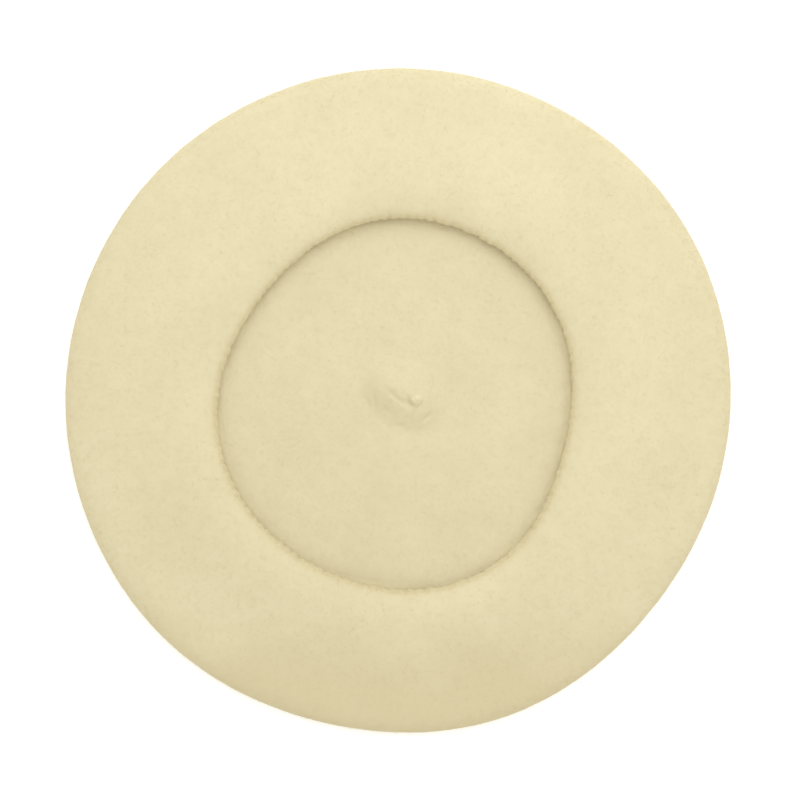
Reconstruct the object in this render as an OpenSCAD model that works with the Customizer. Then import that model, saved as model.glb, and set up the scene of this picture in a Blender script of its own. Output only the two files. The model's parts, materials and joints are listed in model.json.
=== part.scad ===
// Wool felt beret, laid down on its crown with the head opening upwards, as a hat is set on a table.
// Z = 0 is the table, and the Z axis runs through the middle of the crown.
// The felt is one skin of even thickness. It is drawn as two rings that meet face to face where the
// rim folds: the crown below, and the underside above, with the head opening cut in it.

/* [Beret] */
// Diameter across the rim
beret_d = 280; // [230:1:340]
// Thickness of the felt
felt_t = 2.2; // [1.4:0.1:3]
// Height of the folded rim above the table
rim_h = 10; // [8.5:0.5:14]
// How far the rim's fold reaches in from the outside edge
rim_depth = 10; // [7:0.5:16]
// Height of the crest, the highest ring of the underside
crest_h = 10.5; // [9:0.1:16]

/* [Head opening] */
// Mean diameter of the head opening, relaxed
opening_d = 153; // [125:1:185]
// Distance from the edge of the opening out to the crest
crest_in = 20; // [14:0.5:24]
// How far the opening lies forward of the middle
opening_shift = 2.3; // [0:0.1:4]
// How much the edge is oval
edge_oval = 2.1; // [0:0.1:3]
// How much the edge is three-sided
edge_three_sided = 1.4; // [0:0.1:2]
// How much the edge is four-sided
edge_four_sided = 0.8; // [0:0.1:1.5]
// Gap between the edge and the crown under it
edge_gap = 1.6; // [0.3:0.1:3]

/* [Stalk] */
// Diameter of the stalk
stalk_d = 3; // [2:0.1:5]
// Length of the stalk outside the crown
stalk_l = 14; // [8:0.5:18]
// Direction in which the stalk lies under the crown
stalk_angle = 152; // [0:1:359]
// Place of the stalk's hole, right of the middle
stalk_x = 7.8; // [0:0.1:12]
// How far the knot inside the crown stands out past the stalk
knot_proud = 0.6; // [0.3:0.1:1.5]
// Thickness of the yarn drawn up round the stalk, inside the felt
yarn_d = 0.9; // [0.4:0.1:1]
// Width of the crown's slope down from the bump over the stalk
bump_slope = 10; // [6:0.5:16]
// Room for the stalk, above and below it
stalk_room = 0.25; // [0.2:0.05:0.6]
// Clearance round the stalk in its hole
hole_clearance = 0.1; // [0.05:0.05:0.2]
// Clearance between the bending stalk and its root
bend_clearance = 0.05; // [0.05:0.01:0.15]
// Clearance round the yarn
yarn_clearance = 0.05; // [0.02:0.01:0.1]

/* [Hidden] */

cream = [0.90, 0.85, 0.70];
inner_cream = [0.88, 0.83, 0.68];
stalk_cream = [0.91, 0.87, 0.73];

round_fn = 180;
small_fn = 48;
edge_points = 120;
arc_steps = 12;                            // pieces of each quarter of the rim's fold
slope_steps = 14;                          // pieces of each slope
past = 1;                                  // how far a cut runs past the felt

// The felt's middle surface. Its two faces lie half a thickness to either side.
half_t = felt_t / 2;
rim_r = beret_d / 2 - half_t;
rim_in = rim_r - rim_depth;
rim_rise = (rim_h - felt_t) / 2;
opening_r = opening_d / 2;
crest_r = opening_r + crest_in;
lip_z = felt_t + edge_gap + half_t;
lip_w = opening_shift + edge_oval + edge_three_sided + edge_four_sided + past;

// Directions of the opening's widest places.
oval_at = 75;
three_sided_at = 63;
four_sided_at = 20.5;

bump_h = stalk_d + 2 * stalk_room;         // underside of the crown, over the stalk
stalk_z = stalk_room + stalk_d / 2;        // middle of the stalk where it lies
stalk_dir = [cos(stalk_angle), sin(stalk_angle)];
stalk_straight = stalk_l - stalk_d / 2;    // from the bend to the middle of the round tip
root_at = [stalk_x, 0];
knot_d = stalk_d + 2 * knot_proud;
knot_z = bump_h + felt_t;                  // the crown's inside face, under the knot
knot_flat = 0.8;                           // share of the knot's lower half that is pressed flat
knot_gather = 0.5;                         // how far the root reaches up into the knot
bump_rest = 2;                             // flat felt past the knot and the stalk's tip
bump_at = root_at + stalk_dir * stalk_straight / 2;
bump_r = stalk_straight / 2 + knot_d / 2 + bump_rest;
patch_r = bump_r + bump_slope;
yarn_r = (stalk_d + yarn_d) / 2 + yarn_clearance;
yarn_z = bump_h + half_t;

// 0 to 1, level at both ends.
function ease(s) = (1 - cos(180 * s)) / 2;

// Points of a line moved sideways by d.
function moved(line, d) = [
    for (i = [0:len(line) - 1])
        let (along = line[min(i + 1, len(line) - 1)] - line[max(i - 1, 0)])
        line[i] + d * [-along[1], along[0]] / norm(along)
];

// The felt's section from point first to point last of its middle line.
function section(line, first, last) =
    let (left = moved(line, half_t), right = moved(line, -half_t))
    concat([for (i = [first:last]) left[i]], [for (i = [last:-1:first]) right[i]]);

// The felt's middle line as [radius, height], from the middle of the crown out to the fold.
crown_line = concat(
    [[0, half_t]],
    [for (i = [0:arc_steps])
        let (a = 90 * i / arc_steps)
        [rim_in + rim_depth * sin(a), rim_h / 2 - rim_rise * cos(a)]]
);

// From the fold round the rim, up to the crest and down to the edge of the opening.
underside_line = concat(
    [for (i = [1:arc_steps])
        let (a = 90 * i / arc_steps)
        [rim_in + rim_depth * cos(a), rim_h / 2 + rim_rise * sin(a)]],
    [for (i = [1:slope_steps])
        let (s = i / slope_steps)
        [rim_in + (crest_r - rim_in) * s, rim_h - half_t + (crest_h - rim_h) * ease(s)]],
    [for (i = [1:slope_steps])
        let (s = i / slope_steps)
        [crest_r - crest_in * s, crest_h - half_t + (lip_z - crest_h + half_t) * ease(s)]],
    [[opening_r - lip_w, lip_z]]
);
felt_line = concat(crown_line, underside_line);
fold = len(crown_line) - 1;

// The crown over the stalk: flat on top, sloping down to the table all round.
bump_line = concat(
    [[0, bump_h + half_t]],
    [for (i = [0:slope_steps])
        let (s = i / slope_steps)
        [bump_r + bump_slope * s, half_t + bump_h * (1 - ease(s))]],
    [[patch_r + past, half_t]]
);

// Distance from the opening's middle to its edge, in direction a.
function edge_r(a) =
    opening_r
    + edge_oval * cos(2 * (a - oval_at))
    + edge_three_sided * cos(3 * (a - three_sided_at))
    + edge_four_sided * cos(4 * (a - four_sided_at));

module at_root() {
    translate([root_at[0], root_at[1], 0]) children();
}

module at_bump() {
    translate([bump_at[0], bump_at[1], 0]) children();
}

// A ring of round section about the stalk, in the middle of the felt's thickness.
module yarn_ring(d) {
    at_root() translate([0, 0, yarn_z])
        rotate_extrude($fn = small_fn) translate([yarn_r, 0]) circle(d = d, $fn = small_fn / 2);
}

module crown() {
    color(inner_cream)
    difference() {
        union() {
            difference() {
                rotate_extrude($fn = round_fn) polygon(section(felt_line, 0, fold));
                at_bump() translate([0, 0, -past]) cylinder(r = patch_r, h = felt_t + 2 * past, $fn = round_fn);
            }
            at_bump() rotate_extrude($fn = round_fn) polygon(section(bump_line, 0, len(bump_line) - 1));
        }
        at_root() cylinder(r = stalk_d / 2 + hole_clearance, h = knot_z + past, $fn = small_fn);
        yarn_ring(yarn_d + 2 * yarn_clearance);
    }
}

module underside() {
    color(cream)
    difference() {
        rotate_extrude($fn = round_fn) polygon(section(felt_line, fold, len(felt_line) - 1));
        translate([0, -opening_shift, -past])
            linear_extrude(crest_h + 2 * past)
                polygon([for (i = [0:edge_points - 1])
                    let (a = 360 * i / edge_points)
                    edge_r(a) * [cos(a), sin(a)]]);
    }
}

// The free length of the stalk, lying flat under the crown. It bends about the ball at its root.
module stalk() {
    color(stalk_cream)
    at_root() translate([0, 0, stalk_z]) rotate([0, 90, stalk_angle]) {
        sphere(d = stalk_d, $fn = small_fn);
        cylinder(d = stalk_d, h = stalk_straight, $fn = small_fn);
        translate([0, 0, stalk_straight]) sphere(d = stalk_d, $fn = small_fn);
    }
}

// The stalk's root through the crown, and the knot that holds it, pressed flat where it sits on the felt.
module stalk_knot() {
    root_z = stalk_z + stalk_d / 2 + bend_clearance;
    color(stalk_cream)
    at_root() {
        translate([0, 0, root_z]) cylinder(d = stalk_d, h = knot_z + knot_gather - root_z, $fn = small_fn);
        intersection() {
            translate([0, 0, knot_z + knot_d / 2 * (1 - knot_flat)]) sphere(d = knot_d, $fn = small_fn);
            translate([0, 0, knot_z]) cylinder(d = 2 * knot_d, h = knot_d, $fn = small_fn);
        }
    }
}

// The end of the knitting yarn, drawn up round the stalk to close the crown's hole.
module gather_yarn() {
    color(inner_cream) yarn_ring(yarn_d);
}

crown();
underside();
stalk();
stalk_knot();
gather_yarn();
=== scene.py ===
# %% [markdown]
# # A wool felt beret, lying on its crown
#
# A beret is knitted from wool yarn as one round bag, boiled and beaten until the stitches lock into felt,
# and then pulled over a round board to dry. This lesson builds one that lies upside down on a table, so
# that we look into the head opening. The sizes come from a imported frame, which the first cell loads:
# nothing there is moved, and every soft piece made here takes its place from it.

# %% The frame
import json
import math

import bpy
import numpy as np
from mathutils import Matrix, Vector, noise


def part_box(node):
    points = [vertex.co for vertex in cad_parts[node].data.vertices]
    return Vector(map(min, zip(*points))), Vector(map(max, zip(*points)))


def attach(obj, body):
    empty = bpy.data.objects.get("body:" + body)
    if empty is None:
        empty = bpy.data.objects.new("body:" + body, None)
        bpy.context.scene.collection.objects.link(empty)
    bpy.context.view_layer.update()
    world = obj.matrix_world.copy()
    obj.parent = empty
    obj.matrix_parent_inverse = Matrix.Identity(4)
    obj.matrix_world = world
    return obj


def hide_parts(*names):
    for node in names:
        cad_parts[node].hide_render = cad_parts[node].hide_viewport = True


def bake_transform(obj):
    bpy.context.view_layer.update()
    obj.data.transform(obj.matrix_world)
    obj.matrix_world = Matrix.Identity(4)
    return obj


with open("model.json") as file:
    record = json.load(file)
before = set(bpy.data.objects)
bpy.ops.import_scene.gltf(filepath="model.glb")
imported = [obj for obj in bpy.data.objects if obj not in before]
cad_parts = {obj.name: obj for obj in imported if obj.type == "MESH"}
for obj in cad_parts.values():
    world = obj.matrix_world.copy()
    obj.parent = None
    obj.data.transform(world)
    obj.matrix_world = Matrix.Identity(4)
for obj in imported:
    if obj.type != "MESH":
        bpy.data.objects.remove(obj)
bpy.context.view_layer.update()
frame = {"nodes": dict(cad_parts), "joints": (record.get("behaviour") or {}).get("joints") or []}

MM = 0.001
print("nodes in the frame:", sorted(frame["nodes"]))

# %% [markdown]
# ## Sizes
#
# The rim, the bump and the stalk come from the boxes of the frame's nodes and from its hinge, and soft felt
# bulges a little past the rim of the plain solid. The felt's thickness, the crest's height and the other
# numbers of the section are those that the frame was designed with. The opening of a soft hat is never a
# true circle: its edge wanders a few millimetres, and that slow wander is a sum of cosines. The rim wanders
# in the same way, but less.

# %% Sizes taken from the frame
_, crown_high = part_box("crown")
_, underside_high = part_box("underside")
knot_low, knot_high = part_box("stalk_knot")
stalk_low, stalk_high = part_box("stalk")
yarn_low, yarn_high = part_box("gather_yarn")
hinge = frame["joints"][0]

FELT = 2.2 * MM
HALF = FELT / 2
RIM_BULGE = 0.3 * MM
RIM_R = underside_high.x + RIM_BULGE
CREST_Z = 10.5 * MM
LIP_Z = 4.9 * MM
RIM_H = 10 * MM
RIM_DEPTH = 10 * MM
OPENING_R = 76.5 * MM
OPENING_SHIFT = -2.3 * MM
CREST_IN = 20 * MM
CREST_R = OPENING_R + CREST_IN

ROOT = Vector(hinge["pos_m"])
STALK_WAY = Vector((0, 0, 1)).cross(Vector(hinge["axis"])) * -1
STALK_D = stalk_high.z - stalk_low.z
STALK_L = 14 * MM
BUMP_H = crown_high.z - FELT
print(f"rim {RIM_R * 2 / MM:.1f} mm across, crest {CREST_Z / MM:.1f} mm high, bump {BUMP_H / MM:.1f} mm")


# %% The wander of the opening and of the rim
# Each entry is how many times it swings in a turn, how far in millimetres, and where it is widest.
OPENING_WANDER = [(2, 2.1, 75), (3, 1.4, 63), (4, 0.8, 20), (5, 0.35, 24)]
RIM_WANDER = [(2, 0.55, 40), (3, 0.43, 35), (4, 0.4, 24), (5, 0.27, 5), (6, 0.2, -13), (7, 0.15, -21)]


def wander(swings, angle):
    return sum(far * MM * np.cos(n * (angle - math.radians(widest))) for n, far, widest in swings)


def ease(s):
    """0 to 1, level at both ends."""
    return (1 - np.cos(np.pi * np.clip(s, 0, 1))) / 2


def from_middle(places):
    return np.hypot(places[:, 0], places[:, 1])


def turn_of(places):
    """The direction of each place from the middle, as an angle."""
    return np.arctan2(places[:, 1], places[:, 0])


def round_the_hat(angle, rise=0):
    """Places for noise that has no seam after a full turn."""
    return np.column_stack([np.cos(angle), np.sin(angle), rise + 0 * angle])


# %% [markdown]
# ## Helpers for modelling by hand
#
# Blender's operators act on whatever is selected, so each step starts by selecting exactly what it needs.
# `points_of` hands a mesh's points to NumPy and `set_points` puts them back: that is how a soft shape is
# pushed and pulled here, in the way that a sculpting brush would do it.

# %% Selecting, applying and pushing points
def only(piece):
    bpy.ops.object.select_all(action="DESELECT")
    piece.select_set(True)
    bpy.context.view_layer.objects.active = piece
    return piece


def points_of(piece):
    found = np.empty(len(piece.data.vertices) * 3)
    piece.data.vertices.foreach_get("co", found)
    return found.reshape(-1, 3)


def set_points(piece, places):
    piece.data.vertices.foreach_set("co", np.asarray(places).ravel())
    piece.data.update()


def modifier(piece, kind, **settings):
    """Adds one modifier with these settings and applies it."""
    only(piece)
    made = piece.modifiers.new(kind.title(), kind)
    for name, value in settings.items():
        setattr(made, name, value)
    bpy.ops.object.modifier_apply(modifier=made.name)
    return piece


def soft_noise(places, size, seed=0.0):
    """Smooth noise from -1 to 1 at each place, with lumps of about that size."""
    shift = Vector((seed, seed * 1.7, seed * 0.6))
    return np.array([noise.noise(Vector(p) / size + shift) for p in places])


def grow(move, share=1.0):
    """Extrudes the selected ring of edges, moves the new ring and scales it about its own middle."""
    bpy.ops.mesh.extrude_edges_move()
    bpy.ops.transform.translate(value=move)
    if share != 1.0:
        bpy.ops.object.mode_set(mode="OBJECT")
        ring = [v.co for v in bpy.context.object.data.vertices if v.select]
        middle = sum(ring, Vector()) / len(ring)
        bpy.ops.object.mode_set(mode="EDIT")
        bpy.ops.transform.resize(value=(share, share, share), center_override=middle)


def close_ends(piece):
    """Fills the open rings that are left and turns all faces outwards."""
    only(piece)
    bpy.ops.object.mode_set(mode="EDIT")
    bpy.ops.mesh.select_mode(type="VERT")
    bpy.ops.mesh.select_all(action="DESELECT")
    bpy.ops.mesh.select_non_manifold()
    bpy.ops.mesh.edge_face_add()
    bpy.ops.mesh.select_all(action="SELECT")
    bpy.ops.mesh.normals_make_consistent(inside=False)
    bpy.ops.object.mode_set(mode="OBJECT")


def lumps(piece, size, height):
    """Displaces the piece by a cloud pattern with lumps of that size."""
    clouds = bpy.data.textures.new("fulled wool", "CLOUDS")
    clouds.noise_scale = size
    modifier(piece, "DISPLACE", texture=clouds, strength=height, mid_level=0.5, texture_coords="LOCAL")
    bpy.data.textures.remove(clouds)


# %% [markdown]
# ## The skin's middle surface
#
# The whole hat is one skin, so it is modelled once as a thin surface. We start with a circle in the middle
# of the crown and extrude it outwards ring by ring: along the table, round the fold of the rim, in over the
# crest, and down to the edge of the head opening. The underside rolls down to that edge: it leaves the crest
# level, gets steeper all the way and curls under at the very end. The hole in the middle is closed with a
# grid of quads, because a fan of triangles would pinch there.

# %% The section of the skin, as rings
SEGMENTS = 144
CENTRE_R = 32 * MM
FOLD_IN = RIM_R - HALF - RIM_DEPTH
FOLD_RISE = (RIM_H - FELT) / 2
# The inner slope is a slow roll and a sharp curl at its end. Each has a power and its share of the drop.
ROLL, ROLL_SHARE = 3, 0.8
CURL, CURL_SHARE = 16, 0.2


def skin_rings():
    """(radius, height) of each ring after the first, from the crown's middle to the opening's edge."""
    under_felt = [(r, HALF) for r in np.linspace(CENTRE_R, OPENING_R, 7)[1:]]
    hidden = [(r, HALF) for r in np.linspace(OPENING_R, FOLD_IN, 6)[1:]]
    turns = np.radians(np.linspace(0, 180, 9)[1:])
    fold = [(FOLD_IN + RIM_DEPTH * np.sin(a), RIM_H / 2 - FOLD_RISE * np.cos(a)) for a in turns]
    outer = [
        (FOLD_IN + (CREST_R - FOLD_IN) * s, RIM_H - HALF + (CREST_Z - RIM_H) * ease(s))
        for s in np.linspace(0, 1, 6)[1:]
    ]
    drop = CREST_Z - HALF - LIP_Z
    inner = [
        (CREST_R - CREST_IN * s, CREST_Z - HALF - drop * (ROLL_SHARE * s ** ROLL + CURL_SHARE * s ** CURL))
        for s in (0.22, 0.42, 0.6, 0.76, 0.88, 0.95, 1)
    ]
    return under_felt + hidden + fold + outer + inner


# %% Extruding the rings
bpy.ops.object.select_all(action="DESELECT")
bpy.ops.mesh.primitive_circle_add(vertices=SEGMENTS, radius=CENTRE_R, location=(0, 0, HALF))
skin = bpy.context.object
skin.name = "skin"
bpy.ops.object.transform_apply(location=True, rotation=True, scale=True)
bpy.ops.object.mode_set(mode="EDIT")
bpy.ops.mesh.select_all(action="SELECT")
radius, height = CENTRE_R, HALF
for next_radius, next_height in skin_rings():
    bpy.ops.mesh.extrude_edges_move()
    share = next_radius / radius
    bpy.ops.transform.resize(value=(share, share, 1), center_override=(0, 0, 0))
    bpy.ops.transform.translate(value=(0, 0, next_height - height))
    radius, height = next_radius, next_height
bpy.ops.object.mode_set(mode="OBJECT")

# %% Closing the middle with a grid
only(skin)
bpy.ops.object.mode_set(mode="EDIT")
bpy.ops.mesh.select_all(action="DESELECT")
bpy.ops.object.mode_set(mode="OBJECT")
for edge in skin.data.edges:
    ends = [skin.data.vertices[i].co for i in edge.vertices]
    edge.select = all(abs(math.hypot(p.x, p.y) - CENTRE_R) < 0.1 * MM for p in ends)
bpy.ops.object.mode_set(mode="EDIT")
bpy.ops.mesh.select_mode(type="EDGE")
bpy.ops.mesh.fill_grid(span=SEGMENTS // 4)
bpy.ops.mesh.select_all(action="SELECT")
bpy.ops.mesh.normals_make_consistent(inside=False)
bpy.ops.object.mode_set(mode="OBJECT")
print(len(skin.data.polygons), "faces in the skin's middle surface")

# %% [markdown]
# ## Pushing the skin into a soft shape
#
# A ring of revolution looks machined. Felt that was pulled over a board and stored in a pile isn't: the
# opening's edge wanders, the puffed ring lies a little higher here and lower there, and the crown rises in
# a low bump over the stalk, which is folded flat beneath it. Points are pushed while the mesh is still
# coarse, so the subdivision that follows keeps every push smooth.

# %% The bump over the stalk
STALK_ROOT = Vector((ROOT.x, ROOT.y, 0))
STALK_END = STALK_ROOT + STALK_WAY * (STALK_L - STALK_D / 2)
BUMP_AT = (STALK_ROOT + STALK_END) / 2
BUMP_TOP = 2.2 * MM
BUMP_SLOPE = 13 * MM


def beside(places, start, end):
    """Distance of each place from a straight line between two points, and how far along it lies, 0 to 1."""
    along = np.array(end - start)[:2]
    offset = places[:, :2] - np.array(start)[:2]
    share = np.clip(offset @ along / (along @ along), 0, 1)
    away = offset - share[:, None] * along
    return np.hypot(away[:, 0], away[:, 1]), share


def bump_height(places):
    """How far the crown is lifted at each place: a low hill that follows the bent stalk."""
    away, _ = beside(places, STALK_ROOT, STALK_END)
    return BUMP_H * (1 - ease((away - BUMP_TOP) / BUMP_SLOPE))


# %% Pushing the coarse points
EGG_REACH = 24 * MM
SAG_FROM = 14 * MM
SAG_REACH = 34 * MM
SAG_ALL_ROUND = 0.7
SAG_AT_FRONT = 1.6


def shape_skin(places):
    radius, angle = from_middle(places), turn_of(places)
    upper = (places[:, 2] > RIM_H / 2) | ((radius <= FOLD_IN) & (places[:, 2] > HALF + 0.5 * MM))
    crown = (radius <= FOLD_IN) & ~upper

    # The egg of the opening fades out towards the crest.
    egg = np.where(upper, 1 - ease((radius - OPENING_R) / EGG_REACH), 0)
    new_radius = radius + egg * wander(OPENING_WANDER, angle)
    # The rim's own wander fades in from the crown's flat.
    new_radius += ease((radius - CREST_R) / (RIM_R - CREST_R)) * wander(RIM_WANDER, angle)
    pushed = places.copy()
    pushed[:, 0] = new_radius * np.cos(angle)
    pushed[:, 1] = new_radius * np.sin(angle) + egg * OPENING_SHIFT

    # The rim is pressed down all round, and most at the front, where the hat lay in its pile.
    front = (1 - np.sin(angle)) / 2
    depth = (SAG_ALL_ROUND + SAG_AT_FRONT * front ** 3) * MM
    sag = np.where(upper, ease((radius - OPENING_R - SAG_FROM) / SAG_REACH) * depth, 0)
    pushed[:, 2] -= sag * np.clip((places[:, 2] - RIM_H / 2) / FOLD_RISE, 0, 1)

    # The ring lies a little higher here and lower there, and stays down at its edge.
    round_turn = round_the_hat(angle, radius / (55 * MM))
    swell = soft_noise(round_turn, 0.8, seed=2.0) * 0.5 * MM
    swell += soft_noise(round_turn, 0.35, seed=7.0) * 0.25 * MM
    free = np.where(upper, ease((radius - OPENING_R) / (14 * MM)) * ease((RIM_R - radius) / (9 * MM)), 0)
    pushed[:, 2] += free * swell
    lip = np.where(upper, 1 - ease((radius - OPENING_R) / (6 * MM)), 0)
    pushed[:, 2] += lip * 0.3 * MM * soft_noise(round_turn, 0.5, seed=11.0)

    # Under the opening the crown follows the stalk.
    pushed[:, 2] += np.where(crown, bump_height(places), 0)
    return pushed


set_points(skin, shape_skin(points_of(skin)))

# %% [markdown]
# ## From a surface to felt
#
# Solidify gives the surface the felt's thickness, half to each side. Two levels of subdivision then round
# the cut edge of the opening by themselves, which is just how the beaten edge of felt looks.

# %% Thickness and smoothness
modifier(skin, "SOLIDIFY", thickness=FELT, offset=0, use_even_offset=True)
modifier(skin, "SUBSURF", levels=2, render_levels=2)
print(len(skin.data.polygons), "faces in the felt")


# %% [markdown]
# ## Small forms of the felt
#
# Close up, felt is lumpy: the edge of the opening keeps the loops of the last knitted row as little
# scallops, and the crown is creased where the stalk is drawn through it and bends away. A round fold runs
# about the bump, softer towards the back. Creases are pushed one by one, and the lumps come from Displace
# modifiers on cloud patterns. An attribute keeps where the edge is, because its tone differs from the rest.

# %% Creases beside the stalk
def crease(places, start, end, width, depth):
    """A narrow valley between two points, deepest in its middle."""
    away, share = beside(places, start, end)
    return -depth * np.exp(-((away / width) ** 2)) * np.sin(np.pi * np.clip(0.12 + 0.76 * share, 0, 1))


def on_crown(x, y):
    return Vector((x * MM, y * MM, 0))


# Start, end, width and depth of each crease.
CREASES = [
    (on_crown(-4.8, 4.6), on_crown(0.4, -0.4), 1.0 * MM, 0.55 * MM),
    (on_crown(-1.2, 0.4), on_crown(6.0, -2.8), 1.1 * MM, 0.5 * MM),
    (on_crown(3.9, 1.4), on_crown(4.7, -2.6), 1.1 * MM, 1.0 * MM),
    (on_crown(-6.4, -3.0), on_crown(-3.4, -5.6), 0.9 * MM, 0.3 * MM),
    (on_crown(-1.6, -11.0), on_crown(3.0, -11.6), 1.1 * MM, 0.4 * MM),
    (on_crown(10.8, -9.2), on_crown(14.2, -5.4), 0.8 * MM, 0.55 * MM),
    (on_crown(13.6, 8.0), on_crown(17.0, 3.4), 0.8 * MM, 0.4 * MM),
    (on_crown(17.0, 4.4), on_crown(17.0, -2.0), 0.8 * MM, 0.3 * MM),
    (on_crown(-10.2, 3.0), on_crown(-9.8, -3.6), 0.9 * MM, 0.35 * MM),
    (on_crown(-13.6, 1.4), on_crown(-12.4, -3.4), 0.9 * MM, 0.35 * MM),
]
FOLD_AT = on_crown(3.2, 1.0)
FOLD_R = 12.6 * MM


def round_fold(places):
    """A low step down all round the bump, softest at the back."""
    offset = places[:, :2] - np.array(FOLD_AT)[:2]
    away = np.hypot(offset[:, 0], offset[:, 1])
    front = (1 - np.sin(np.arctan2(offset[:, 1], offset[:, 0]) - math.radians(10))) / 2
    uneven = 0.9 * MM * soft_noise(places * (1, 1, 0), 7 * MM, seed=4.0)
    return (0.05 + 0.2 * front) * MM * (1 - ease((away + uneven - FOLD_R) / (3 * MM)))


def crown_lift(places):
    """How far the crown's inside face is raised or creased near the stalk."""
    away, _ = beside(places, STALK_ROOT, STALK_END)
    lift = 0.5 * MM * np.exp(-((away / (3 * MM)) ** 2)) + round_fold(places)
    for start, end, width, depth in CREASES:
        lift += crease(places, start, end, width, depth)
    return lift


# %% Pushing the fine points
LOOPS = 124
CREASED_R = 34 * MM


def near_edge(places, reach, above=FELT + 0.2 * MM):
    """1 at the edge of the opening, falling off over that reach, for the points above that height."""
    edge_r = OPENING_R + wander(OPENING_WANDER, turn_of(places))
    near = np.exp(-(((np.hypot(places[:, 0], places[:, 1] - OPENING_SHIFT) - edge_r) / reach) ** 2))
    return np.where(places[:, 2] > above, near, 0)


def small_forms(places):
    pushed = places.copy()
    angle = turn_of(places)
    inside = places[:, 2] > HALF + bump_height(places) + 0.4 * MM
    near = np.flatnonzero((from_middle(places) < CREASED_R) & inside)
    pushed[near, 2] += crown_lift(places[near])

    # Scallops: about a hundred and twenty loops round the edge, some fulled flat.
    round_turn = round_the_hat(angle)
    loops = np.cos(angle * LOOPS + 2.5 * soft_noise(round_turn, 0.2, seed=5.0))
    loops *= 0.6 + 0.6 * soft_noise(round_turn, 0.12, seed=9.0)
    push = near_edge(places, 1.8 * MM) * (0.3 * loops + 0.4 * soft_noise(round_turn, 0.05, seed=3.0)) * MM
    pushed[:, 0] += push * np.cos(angle)
    pushed[:, 1] += push * np.sin(angle)
    return pushed


# The attribute is -1 on the lip of the opening, where shade is painted, and +1 on the crown under it, where
# a glow of light is painted.
painted_light_and_shade = skin.data.attributes.new("edge", "FLOAT", "POINT")
on_lip = points_of(skin)[:, 2] > FELT + 0.2 * MM
near = near_edge(points_of(skin), np.where(on_lip, 1.8, 1.1) * MM, above=HALF)
painted_light_and_shade.data.foreach_set("value", near * np.where(on_lip, -1, 1))
set_points(skin, small_forms(points_of(skin)))
lumps(skin, 10 * MM, 0.3 * MM)
lumps(skin, 3.6 * MM, 0.12 * MM)
only(skin)
bpy.ops.object.shade_smooth()

# %% [markdown]
# ## Crown and underside
#
# The frame holds the felt as two nodes, the crown and the underside. The skin is parted in the same way,
# but where nobody looks: under the rim, where the felt leaves the table, and inside the pocket.

# %% Parting the skin
PART_R = 127 * MM


def part(piece, name, keep):
    """A copy of the piece that holds only the faces that keep picks by their middles."""
    made = piece.copy()
    made.data = piece.data.copy()
    made.name = name
    bpy.context.collection.objects.link(made)
    only(made)
    middles = np.empty(len(made.data.polygons) * 3)
    made.data.polygons.foreach_get("center", middles)
    drop = ~keep(middles.reshape(-1, 3))
    bpy.ops.object.mode_set(mode="EDIT")
    bpy.ops.mesh.select_mode(type="FACE")
    bpy.ops.mesh.select_all(action="DESELECT")
    bpy.ops.object.mode_set(mode="OBJECT")
    made.data.polygons.foreach_set("select", drop)
    bpy.ops.object.mode_set(mode="EDIT")
    bpy.ops.mesh.delete(type="FACE")
    bpy.ops.object.mode_set(mode="OBJECT")
    return made


def is_crown(middles):
    low = middles[:, 2] < FELT + 0.4 * MM + 1.6 * bump_height(middles)
    return (from_middle(middles) < PART_R) & low


crown_felt = part(skin, "crown_felt", is_crown)
underside_felt = part(skin, "underside_felt", lambda middles: ~is_crown(middles))
bpy.data.objects.remove(skin)
for piece, node in ((crown_felt, "crown"), (underside_felt, "underside")):
    print(piece.name, len(piece.data.polygons) * 2, "triangles")
    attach(piece, "beret")
    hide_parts(node)

# %% [markdown]
# ## The stalk
#
# The stalk is a few narrow rows of knitting that felted into a soft tail. It comes down through the middle
# of the crown and is bent flat under it. We extrude it the way it grows: a ring of points goes down through
# the felt, turns a quarter circle, and runs on to a blunt tip. It is modelled along +X, which keeps every
# step simple, and then turned to the direction that the hinge gives. The felt bends there and doesn't tear.

# %% Extruding the stalk
STALK_SIDES = 12
STALK_R = 0.47 * STALK_D
ROOT_TOP = BUMP_H + HALF
BEND_R = 1.6 * MM
BEND_STEPS = 5
STRAIGHT_STEPS = 7

bpy.ops.object.select_all(action="DESELECT")
bpy.ops.mesh.primitive_circle_add(vertices=STALK_SIDES, radius=STALK_R, location=(0, 0, ROOT_TOP))
stalk_felt = bpy.context.object
stalk_felt.name = "stalk_felt"
bpy.ops.object.transform_apply(location=True, rotation=True, scale=True)
bpy.ops.object.mode_set(mode="EDIT")
bpy.ops.mesh.select_all(action="SELECT")
grow((0, 0, ROOT.z + BEND_R - ROOT_TOP))
for step in range(BEND_STEPS):
    bpy.ops.mesh.extrude_edges_move()
    bpy.ops.transform.rotate(
        value=math.pi / 2 / BEND_STEPS, orient_axis="Y", center_override=(BEND_R, 0, ROOT.z + BEND_R)
    )
straight = (STALK_L - 1.4 * MM - BEND_R) / STRAIGHT_STEPS
for step in range(STRAIGHT_STEPS):
    grow((straight, 0, 0), 1.02 if step % 2 else 0.985)
for reach, share in ((0.7 * MM, 0.84), (0.45 * MM, 0.62), (0.2 * MM, 0.4)):
    grow((reach, 0, 0), share)
bpy.ops.object.mode_set(mode="OBJECT")
close_ends(stalk_felt)
low, high = points_of(stalk_felt).min(axis=0), points_of(stalk_felt).max(axis=0)
print("the stalk reaches from", np.round(low / MM, 2), "to", np.round(high / MM, 2), "mm")

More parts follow.
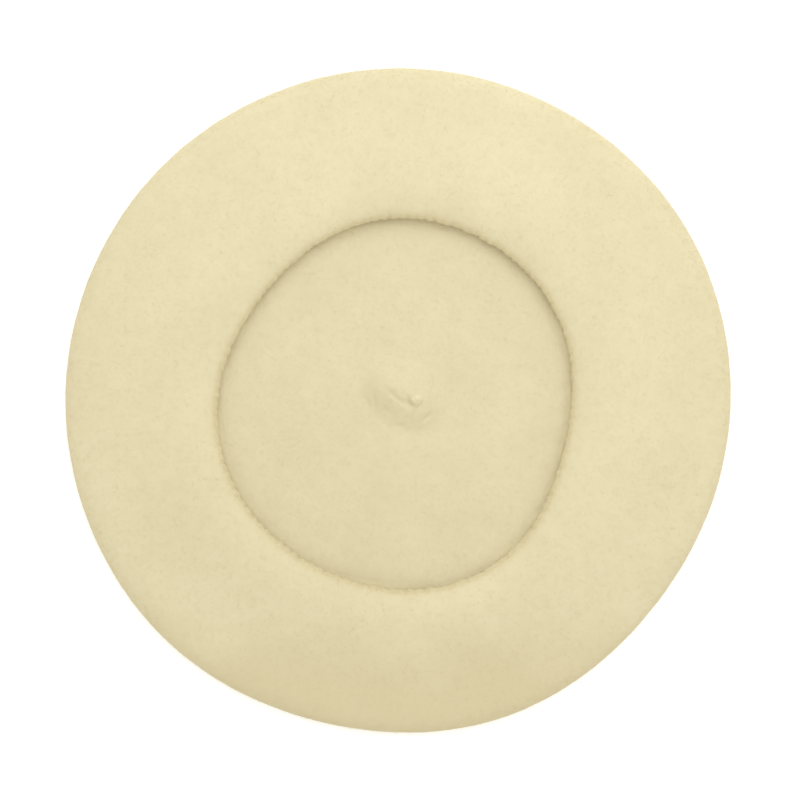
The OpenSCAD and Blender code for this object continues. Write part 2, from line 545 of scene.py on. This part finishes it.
# %% Turning, softening and bending
stalk_felt.rotation_euler.z = math.atan2(STALK_WAY.y, STALK_WAY.x)
stalk_felt.location = STALK_ROOT
only(stalk_felt)
bpy.ops.object.transform_apply(location=True, rotation=True, scale=True)
modifier(stalk_felt, "SUBSURF", levels=2, render_levels=2)
lumps(stalk_felt, 2.2 * MM, 0.22 * MM)
lumps(stalk_felt, 0.8 * MM, 0.1 * MM)
only(stalk_felt)
bpy.ops.object.shade_smooth()
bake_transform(stalk_felt)
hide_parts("stalk")

# %% [markdown]
# ## The knot inside
#
# Inside the hat the end of the tail is drawn through and knotted, and fulling turns that knot into a small
# hard nub with a pinched front. It starts as a ball. The ball is cut off where it meets the felt and
# extruded down into it as the root, and then its points are pushed: the front is drawn out, narrowed and
# lowered, the foot spreads over the felt, and two folds are pressed into the top.

# %% The nub and its root
KNOT_SEAT = crown_high.z
KNOT_R = (knot_high.x - knot_low.x) / 2
KNOT_CUT = KNOT_SEAT - 0.2 * MM
bpy.ops.object.select_all(action="DESELECT")
bpy.ops.mesh.primitive_uv_sphere_add(
    segments=28, ring_count=18, radius=KNOT_R, location=(ROOT.x, ROOT.y, knot_high.z - KNOT_R)
)
knot_felt = bpy.context.object
knot_felt.name = "knot_felt"
bpy.ops.object.transform_apply(location=True, rotation=True, scale=True)
bpy.ops.object.mode_set(mode="EDIT")
bpy.ops.mesh.select_all(action="SELECT")
bpy.ops.mesh.bisect(plane_co=(0, 0, KNOT_CUT), plane_no=(0, 0, 1), clear_inner=True, use_fill=False)
bpy.ops.mesh.select_mode(type="VERT")
bpy.ops.mesh.select_all(action="DESELECT")
bpy.ops.mesh.select_non_manifold()
grow((0, 0, -0.3 * MM), STALK_R / KNOT_R)
grow((0, 0, ROOT_TOP + 0.1 * MM - KNOT_SEAT + 0.5 * MM))
bpy.ops.object.mode_set(mode="OBJECT")
close_ends(knot_felt)


# %% Pinching the nub
# Start, end and depth of each fold, in knot radii: how far to the right of the knot's middle, and ahead.
KNOT_FOLDS = [((-0.8, -0.9), (0.0, 0.6), 0.12), ((0.8, -0.3), (0.15, 0.8), 0.1)]


def on_knot(right, ahead):
    return on_crown(ROOT.x / MM + right * KNOT_R / MM, ROOT.y / MM - ahead * KNOT_R / MM)


def pinch(places):
    across = (places[:, 0] - ROOT.x) / KNOT_R
    ahead = (ROOT.y - places[:, 1]) / KNOT_R
    above = np.clip((places[:, 2] - KNOT_SEAT) / (2 * KNOT_R), 0, 1)
    front = np.clip(ahead, 0, 1.2)
    skirt = np.clip(1 - (places[:, 2] - KNOT_SEAT) / (1.5 * MM), 0, 1) ** 2
    skirt = np.where(places[:, 2] > KNOT_SEAT - 0.35 * MM, skirt, 0)
    pushed = places.copy()
    pushed[:, 0] += KNOT_R * across * ((0.2 - 0.5 * front ** 1.5) * (above > 0) + 0.3 * skirt)
    pushed[:, 2] -= KNOT_R * 0.5 * front * above
    pushed[:, 1] -= KNOT_R * (0.4 * front * (above > 0) * (1 - 0.6 * above) + 0.3 * skirt * ahead)
    for start, end, depth in KNOT_FOLDS:
        fold = crease(places, on_knot(*start), on_knot(*end), 0.6 * MM, depth * KNOT_R)
        pushed[:, 2] += fold * np.clip(3 * above, 0, 1)
    return pushed


modifier(knot_felt, "SUBSURF", levels=1, render_levels=1)
set_points(knot_felt, pinch(points_of(knot_felt)))
lumps(knot_felt, 1.3 * MM, 0.22 * MM)
only(knot_felt)
bpy.ops.object.shade_smooth()
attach(knot_felt, "beret")
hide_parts("stalk_knot")
print("the nub is", round((knot_high.z - KNOT_SEAT) / MM, 2), "mm high")

# %% [markdown]
# ## The gather yarn
#
# The end of the knitting yarn is run through the last stitches and drawn tight round the stalk, inside the
# felt. The yarn has two plies twisted together. Each ply starts as a thin torus round the stalk, and its
# points are shifted round the yarn's middle line, so that the two plies wind about each other.

# %% Two plies round the stalk
YARN_D = yarn_high.z - yarn_low.z
YARN_MIDDLE = (yarn_low + yarn_high) / 2
YARN_RING_R = (yarn_high.x - yarn_low.x - YARN_D) / 2
PLY_R = 0.27 * YARN_D
TWISTS = 9


def ply(phase):
    """One ply of the ring: a torus whose points wind round the yarn's middle line."""
    bpy.ops.object.select_all(action="DESELECT")
    bpy.ops.mesh.primitive_torus_add(
        major_segments=90, minor_segments=10, major_radius=YARN_RING_R, minor_radius=PLY_R,
        location=YARN_MIDDLE,
    )
    made = bpy.context.object
    bpy.ops.object.transform_apply(location=True, rotation=True, scale=True)
    places = points_of(made)
    turn = np.arctan2(places[:, 1] - YARN_MIDDLE.y, places[:, 0] - YARN_MIDDLE.x)
    out = (YARN_D / 2 - PLY_R) * np.cos(TWISTS * turn + phase)
    places += np.column_stack([
        out * np.cos(turn), out * np.sin(turn), (YARN_D / 2 - PLY_R) * np.sin(TWISTS * turn + phase)
    ])
    set_points(made, places)
    return made


gather_twist = ply(0)
second_ply = ply(math.pi)
only(gather_twist)
second_ply.select_set(True)
bpy.ops.object.join()
bpy.ops.object.shade_smooth()
gather_twist.name = "gather_twist"
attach(gather_twist, "beret")
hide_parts("gather_yarn")

# %% [markdown]
# ## Materials as sums
#
# A material is a graph of nodes, but the graph is easier to read as arithmetic. `Socket` wraps one output
# so that `a * 2 + b` adds the Math nodes, and `Finish.node` adds any other node.

# %% A socket that can be added and multiplied
class Socket:
    def __init__(self, link):
        self.link = link

    def _math(self, operation, first, second):
        tree = self.link.id_data
        made = tree.nodes.new("ShaderNodeMath")
        made.operation = operation
        for place, value in zip(made.inputs, (first, second)):
            if isinstance(value, Socket):
                tree.links.new(value.link, place)
            else:
                place.default_value = value
        return Socket(made.outputs[0])

    def __add__(self, other):
        return self._math("ADD", self, other)

    __radd__ = __add__

    def __sub__(self, other):
        return self._math("SUBTRACT", self, other)

    def __rsub__(self, other):
        return self._math("SUBTRACT", other, self)

    def __mul__(self, other):
        return self._math("MULTIPLY", self, other)

    __rmul__ = __mul__


class Finish:
    """A material and the nodes in it."""

    def __init__(self, name):
        self.material = bpy.data.materials.new(name)
        self.material.use_nodes = True
        self.tree = self.material.node_tree
        self.tree.nodes.clear()

    def node(self, kind, settings=None, sockets=None, out=0):
        """Adds a node, sets its settings first and then its sockets, and returns one of its outputs."""
        made = self.tree.nodes.new("ShaderNode" + kind)
        for name, value in (settings or {}).items():
            setattr(made, name, value)
        for name, value in (sockets or {}).items():
            if isinstance(value, Socket):
                self.tree.links.new(value.link, made.inputs[name])
            else:
                made.inputs[name].default_value = value
        return Socket(made.outputs[out]) if made.outputs else made

    def noise(self, vector, scale, detail=2.0, roughness=0.5, distortion=0.0):
        return self.node("TexNoise", None, {
            "Vector": vector, "Scale": scale, "Detail": detail, "Roughness": roughness,
            "Distortion": distortion,
        })

    def between(self, factor, first, second):
        """The first colour where the factor is 0, the second where it is 1."""
        first, second = (c if isinstance(c, Socket) else (*c, 1) for c in (first, second))
        return self.node("Mix", {"data_type": "RGBA"}, {0: factor, 6: first, 7: second}, out=2)

    def surface(self, sockets):
        shader = self.node("BsdfPrincipled", None, sockets)
        self.node("OutputMaterial", None, {"Surface": shader})
        return self.material


def coat(piece, material):
    """Gives the piece this one material."""
    piece.data.materials.clear()
    piece.data.materials.append(material)


# %% [markdown]
# ## Wool felt
#
# Felt scatters light in every direction and its loose fibres catch light at a glancing angle, so it is very
# rough with a soft sheen. Its tone drifts in blotches a few millimetres wide, because wool takes up dye and
# grease unevenly. Where the knitting still shows, fine streaks run along the radius. They are drawn by
# noise that is fine around the hat and stretched along the radius.
#
# Four places differ from the rest. The ring is a little paler than the crown's flat, by its height. The lip
# of the opening is a shade darker, as painted shade. Light soaks through the thin lip onto the crown just
# beneath it, and a paler tone is painted there for that glow. The front of the ring is darker.

# %% Wool felt
# What the felt's shader holds all over: almost no gloss, and loose fibres that catch light at a low angle.
WOOL_SHEEN = {"Sheen Weight": 0.2, "Sheen Tint": (1.0, 0.97, 0.88, 1.0)}
FELT_GLOSS = {"Specular IOR Level": 0.15, "Sheen Roughness": 0.6, **WOOL_SHEEN}
# A darker wool tone: painted shade on the lip of the opening, and the darker front of the ring.
WOOL_DARKER_TONE = (0.63, 0.54, 0.315)
# Painted light: a paler tone on the crown under the lip, for light that soaks through the thin felt.
WOOL_PAINTED_GLOW = (0.86, 0.755, 0.465)
WOOL_LIGHT = (0.74, 0.66, 0.427)
WOOL_DARK = (0.64, 0.56, 0.342)
WOOL_PIT = (0.52, 0.445, 0.26)


def wool_felt(name, streaks):
    """streaks, 0 to 1, sets how clearly the rows show, and how pale the ring is and how much darker at its
    front.
    """
    felt = Finish(name)
    place = felt.node("TexCoord", out=3)
    flat = felt.node("VectorMath", {"operation": "MULTIPLY"}, {0: place, 1: (1, 1, 0)})
    radius = felt.node("VectorMath", {"operation": "LENGTH"}, {0: flat}, out=1)
    way = felt.node("VectorMath", {"operation": "NORMALIZE"}, {0: flat})
    round_way = felt.node("VectorMath", {"operation": "SCALE"}, {0: way, "Scale": 60.0})
    along = felt.node("CombineXYZ", None, {"Z": radius * 160.0})
    polar = felt.node("VectorMath", {"operation": "ADD"}, {0: round_way, 1: along})

    rows = felt.noise(polar, 1.0, detail=2.0, roughness=0.6, distortion=0.6)
    blotches = felt.noise(place, 190.0, detail=3.0, roughness=0.6, distortion=0.4)
    drift = felt.noise(place, 32.0, detail=2.0)
    grain = felt.noise(place, 900.0, detail=3.0, roughness=0.7, distortion=1.2)
    pits = felt.node("MapRange", None, {
        "Value": felt.noise(place, 260.0, detail=1.0, distortion=0.3), "From Min": 0.58, "From Max": 0.8,
    })

    y = felt.node("SeparateXYZ", None, {"Vector": place}, out=1)
    z = felt.node("SeparateXYZ", None, {"Vector": place}, out=2)
    upper = felt.node("MapRange", None, {"Value": z, "From Min": 3 * MM, "From Max": 7 * MM})
    tone = upper * (0.15 * streaks) + blotches * 0.6 + drift * 0.7 + grain * 0.15
    tone = tone + rows * (0.2 * streaks) - (0.225 + 0.1 * streaks)
    colour = felt.between(tone, WOOL_DARK, WOOL_LIGHT)
    colour = felt.between(pits * 0.12, colour, WOOL_PIT)
    edge = felt.node("Attribute", {"attribute_name": "edge"}, out=2)
    # Painted light: the crown just under the lip is paler.
    colour = felt.between(edge, colour, WOOL_PAINTED_GLOW)
    # Painted shade: the lip of the opening is a shade darker.
    colour = felt.between(edge * -0.6, colour, WOOL_DARKER_TONE)
    # The ring is darker towards its front.
    front_darker = felt.node("MapRange", None, {
        "Value": y + drift * 0.03, "From Min": -0.075, "From Max": -0.105, "To Max": 0.6 * streaks,
    })
    colour = felt.between(front_darker * upper, colour, WOOL_DARKER_TONE)
    height = grain * 0.3 + blotches * 0.4 + rows * (0.2 * streaks) - pits * 0.2
    bump = felt.node("Bump", None, {"Strength": 0.25, "Distance": 0.3 * MM, "Height": height})
    return felt.surface({
        "Base Color": colour,
        "Roughness": 0.88 + grain * 0.1,
        "Normal": bump,
        **FELT_GLOSS,
    })


coat(underside_felt, wool_felt("wool felt with radial rows", 1.0))
coat(crown_felt, wool_felt("wool felt of the crown", 0.2))

# %% [markdown]
# ## Tight felt and yarn
#
# The stalk and its knot were fulled harder than the skin, so they are smoother, paler, and show only a fine
# grain. The yarn hides inside the felt, and the same fine grain does for its wool.


# %% Tight felt
def tight_felt(name, light, dark):
    felt = Finish(name)
    place = felt.node("TexCoord", out=3)
    grain = felt.noise(place, 1500.0, detail=3.0, roughness=0.65, distortion=1.5)
    patches = felt.noise(place, 420.0, detail=2.0)
    height = grain * 0.6 + patches * 0.8
    return felt.surface({
        "Base Color": felt.between(grain * 0.6 + patches * 0.7 - 0.15, dark, light),
        "Roughness": 0.84 + grain * 0.12,
        "Normal": felt.node("Bump", None, {"Strength": 0.4, "Distance": 0.15 * MM, "Height": height}),
        **FELT_GLOSS,
    })


coat(knot_felt, tight_felt("fulled knot", (0.77, 0.69, 0.455), (0.68, 0.60, 0.38)))
coat(stalk_felt, tight_felt("fulled stalk", (0.76, 0.68, 0.445), (0.65, 0.57, 0.355)))
coat(gather_twist, tight_felt("wool yarn", (0.76, 0.68, 0.45), (0.60, 0.52, 0.32)))

# %% [markdown]
# ## The nap
#
# Brushed felt is covered with loose fibres. Most lie nearly flat and only soften the surface, and those at
# the rim and at the edge of the opening stand out against what is behind them. One fibre is modelled with
# three sides, and then copied thousands of times onto the felt's faces: every copy gets its own length,
# direction and curl from a seeded generator. Blender may list the felt's faces in another order from run to
# run, and then the fibres land in other places, with the same overall look. They are far too thin for a
# pattern to show on them, so each piece of nap has one plain tone of the wool.

# %% One fibre
FIBRE_SIDES = 3
bpy.ops.object.select_all(action="DESELECT")
bpy.ops.mesh.primitive_circle_add(vertices=FIBRE_SIDES, radius=1, location=(0, 0, 0))
fibre = bpy.context.object
bpy.ops.object.mode_set(mode="EDIT")
bpy.ops.mesh.select_all(action="SELECT")
for rise, share in ((0.35, 0.95), (0.35, 0.8), (0.3, 0.3)):
    grow((0, 0, rise), share)
bpy.ops.object.mode_set(mode="OBJECT")
close_ends(fibre)
modifier(fibre, "TRIANGULATE")
fibre_points = points_of(fibre)
fibre_faces = np.array([polygon.vertices[:] for polygon in fibre.data.polygons])
bpy.data.objects.remove(fibre)
print("one fibre has", len(fibre_faces), "triangles")


# %% Scattering fibres on a piece
FIBRE_R = 0.022 * MM
FIBRE_SUNK = 0.05 * MM


def unit(ways):
    return ways / np.linalg.norm(ways, axis=1, keepdims=True)


def roots_on(piece, count, keep, chance):
    """Random places on the faces that keep picks, evenly over their area, and the faces' normals there."""
    piece.data.calc_loop_triangles()
    corners = np.empty(len(piece.data.loop_triangles) * 3, dtype=np.int32)
    piece.data.loop_triangles.foreach_get("vertices", corners)
    corners = points_of(piece)[corners.reshape(-1, 3)]
    first, second = corners[:, 1] - corners[:, 0], corners[:, 2] - corners[:, 0]
    cross = np.cross(first, second)
    area = np.linalg.norm(cross, axis=1)
    normal = cross / np.maximum(area, 1e-15)[:, None]
    weight = area * keep(corners.mean(axis=1), normal)
    picked = chance.choice(len(weight), count, p=weight / weight.sum())
    u, v = chance.random((2, count, 1))
    over = u + v > 1
    u, v = np.where(over, 1 - u, u), np.where(over, 1 - v, v)
    return corners[picked, 0] + u * first[picked] + v * second[picked], normal[picked]


def nap(name, piece, count, length, lift, keep, seed):
    """A new piece: count fibres rooted on the piece, about that long, standing off by about that slope."""
    chance = np.random.default_rng(seed)
    root, up = roots_on(piece, count, keep, chance)
    flat = unit(np.cross(up, chance.normal(size=(count, 3))))
    way = unit(flat + up * lift * chance.uniform(0.2, 1.0, (count, 1)))
    side = unit(np.cross(way, up))
    over = np.cross(side, way)
    long = length * chance.uniform(0.5, 1.4, (count, 1))
    curl = chance.normal(0, 0.35, (count, 1)) * side - 0.5 * lift * chance.uniform(0.2, 1.0, (count, 1)) * up
    root = root - FIBRE_SUNK * up
    x, y, z = (fibre_points[:, i][None, :, None] for i in range(3))
    root, way, side, over, long, curl = (a[:, None, :] for a in (root, way, side, over, long, curl))
    places = root + long * (z * way + z ** 2 * curl) + FIBRE_R * (x * side + y * over)
    faces = fibre_faces[None] + (np.arange(count) * len(fibre_points))[:, None, None]
    mesh = bpy.data.meshes.new(name)
    mesh.from_pydata(places.reshape(-1, 3), [], faces.reshape(-1, 3))
    mesh.update()
    made = bpy.data.objects.new(name, mesh)
    bpy.context.collection.objects.link(made)
    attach(made, "beret")
    print(name, len(mesh.polygons), "triangles")
    return made


# %% Where the nap grows
def on_ring(middles, normal):
    return (normal[:, 2] > 0.2) & (middles[:, 2] > RIM_H / 2)


def on_rim(middles, normal):
    return (from_middle(middles) > RIM_R - 4 * MM) & (normal[:, 2] > -0.7)


def on_edge(middles, normal):
    inward = -(normal[:, 0] * middles[:, 0] + normal[:, 1] * middles[:, 1]) / from_middle(middles)
    return near_edge(middles, 1.2 * MM) * (inward > 0.4)


def inside_crown(middles, normal):
    return (normal[:, 2] > 0.3) & (from_middle(middles) < OPENING_R + 6 * MM)


def under_crown(middles, normal):
    stalk_room = np.hypot(middles[:, 0] - BUMP_AT.x, middles[:, 1] - BUMP_AT.y) > 24 * MM
    return (normal[:, 2] < -0.5) & (middles[:, 2] < HALF) & stalk_room


def fibre_finish(name, colour):
    return Finish(name).surface({
        "Base Color": (*colour, 1), "Roughness": 0.8, "Specular IOR Level": 0.2, **WOOL_SHEEN,
    })


light_fibre = fibre_finish("loose fibres, light", (0.77, 0.69, 0.45))
dark_fibre = fibre_finish("loose fibres, dark", (0.69, 0.61, 0.385))
# How many fibres, how long, how steep, where they grow, and the seed.
coat(nap("nap_ring_light", underside_felt, 12000, 2.2 * MM, 0.22, on_ring, 1), light_fibre)
coat(nap("nap_ring_dark", underside_felt, 11000, 1.8 * MM, 0.2, on_ring, 2), dark_fibre)
coat(nap("nap_rim", underside_felt, 12000, 1.4 * MM, 0.9, on_rim, 3), light_fibre)
coat(nap("nap_edge", underside_felt, 12000, 1.3 * MM, 1.3, on_edge, 4), light_fibre)
coat(nap("nap_crown_light", crown_felt, 6500, 2.0 * MM, 0.22, inside_crown, 5), light_fibre)
coat(nap("nap_crown_dark", crown_felt, 6500, 1.6 * MM, 0.2, inside_crown, 6), dark_fibre)
coat(nap("nap_below", crown_felt, 9000, 1.6 * MM, 0.1, under_crown, 7), light_fibre)

# %% [markdown]
# ## Camera, table and lamp
#
# The camera looks straight down, far enough away that the rim isn't distorted. One large lamp above the
# back of the hat gives the ring its soft shading, and a bright pale room fills the rest.

# %% Camera
camera = bpy.data.objects.new("camera", bpy.data.cameras.new("camera"))
camera.data.lens = 85
camera.data.sensor_width = 36
camera.location = (0.84 * MM, -0.13 * MM, 0.8006)
bpy.context.collection.objects.link(camera)
bpy.context.scene.camera = camera
bpy.context.scene.view_settings.view_transform = "Standard"

# %% Table
bpy.ops.mesh.primitive_plane_add(size=4, location=(0, 0, 0))
table = bpy.context.object
table.name = "table"
paper = Finish("white paper")
coat(table, paper.surface({
    "Base Color": (0.93, 0.93, 0.93, 1), "Roughness": 0.9,
    "Emission Color": (1, 1, 1, 1), "Emission Strength": 0.28,
}))


# %% Lamp and room
SOFTBOX_AT = Vector((0.09, 0.31, 0.46))
light = bpy.data.lights.new("softbox", "AREA")
light.shape = "DISK"
light.size = 0.8
light.energy = 1.85
light.color = (0.95, 0.99, 1.08)
softbox = bpy.data.objects.new("softbox", light)
softbox.location = SOFTBOX_AT
softbox.visible_camera = False
softbox.rotation_euler = (-SOFTBOX_AT).to_track_quat("-Z", "Y").to_euler()
bpy.context.collection.objects.link(softbox)

world = bpy.data.worlds.new("room")
world.use_nodes = True
world.node_tree.nodes["Background"].inputs["Color"].default_value = (1, 0.985, 0.955, 1)
world.node_tree.nodes["Background"].inputs["Strength"].default_value = 0.84
bpy.context.scene.world = world
